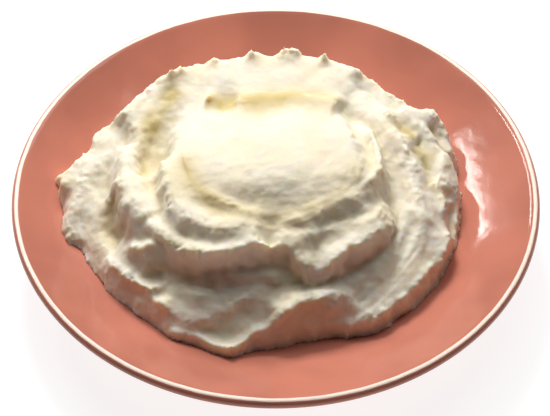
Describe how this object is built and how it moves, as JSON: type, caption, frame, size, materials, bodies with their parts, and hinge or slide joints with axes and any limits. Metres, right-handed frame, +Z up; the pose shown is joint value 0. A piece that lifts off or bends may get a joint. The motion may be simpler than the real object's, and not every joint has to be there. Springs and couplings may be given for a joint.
{
  "type": "mashed potato side",
  "caption": "Shallow round glazed bowl with a rounded lip and a foot ring, filled with a heaped, spooned side of mashed potato.",
  "frame": {"origin": "centre of the foot ring's flat underside, on the bowl's axis, where it stands on the table", "axes": "+Z up along the bowl's axis, +X to the right and +Y away from someone sitting at the dish's front"},
  "size_m": [0.2, 0.2, 0.0508],
  "materials": {
    "glaze": "glossy salmon stoneware glaze",
    "potato": "moist, soft, fine-grained"
  },
  "bodies": {
    "root": {"bowl": "glaze", "mash": "potato"}
  },
  "joints": []
}
